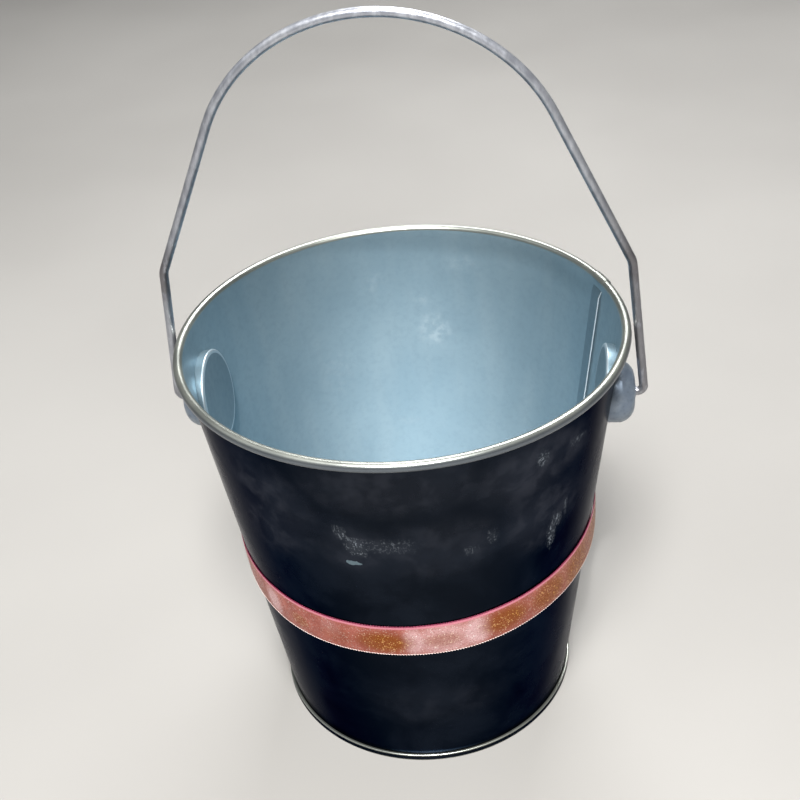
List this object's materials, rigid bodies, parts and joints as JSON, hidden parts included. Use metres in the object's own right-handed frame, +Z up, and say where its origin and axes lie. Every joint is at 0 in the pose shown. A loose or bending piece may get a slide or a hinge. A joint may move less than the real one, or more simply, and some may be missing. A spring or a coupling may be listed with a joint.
{
  "type": "florist bucket",
  "caption": "Small tapered galvanised steel pail with rolled rim, round ears, swinging wire bail and a satin ribbon round the waist.",
  "frame": {"origin": "middle of the foot, on the surface the bucket stands on", "axes": "+Z up along the bucket's axis, +X through the right ear, along the line the bail turns on, -Y towards the side the upright bail leans to at rest"},
  "size_m": [0.1624, 0.15, 0.258],
  "materials": {
    "galvanised_sheet": "galvanised sheet, smooth, lightly smudged",
    "galvanised_wire": "drawn wire, dull zinc",
    "ear_steel": "pressed and plated, satin",
    "satin_ribbon": "rose gold satin with a fine glitter and woven edges"
  },
  "bodies": {
    "bucket": {"bucket_shell": "galvanised_sheet", "base_disc": "galvanised_sheet", "ear_boss_right": "ear_steel", "ear_boss_left": "ear_steel", "ear_cap_right": "ear_steel", "ear_cap_left": "ear_steel", "ribbon_band": "satin_ribbon"},
    "bail": {"bail_wire": "galvanised_wire"}
  },
  "joints": [
    {"name": "bail_swing", "type": "hinge", "parent": "bucket", "child": "bail", "pos_m": [0, 0, 0.1235], "axis": [1, 0, 0], "range_deg": [-159.5, 149.5]}
  ]
}
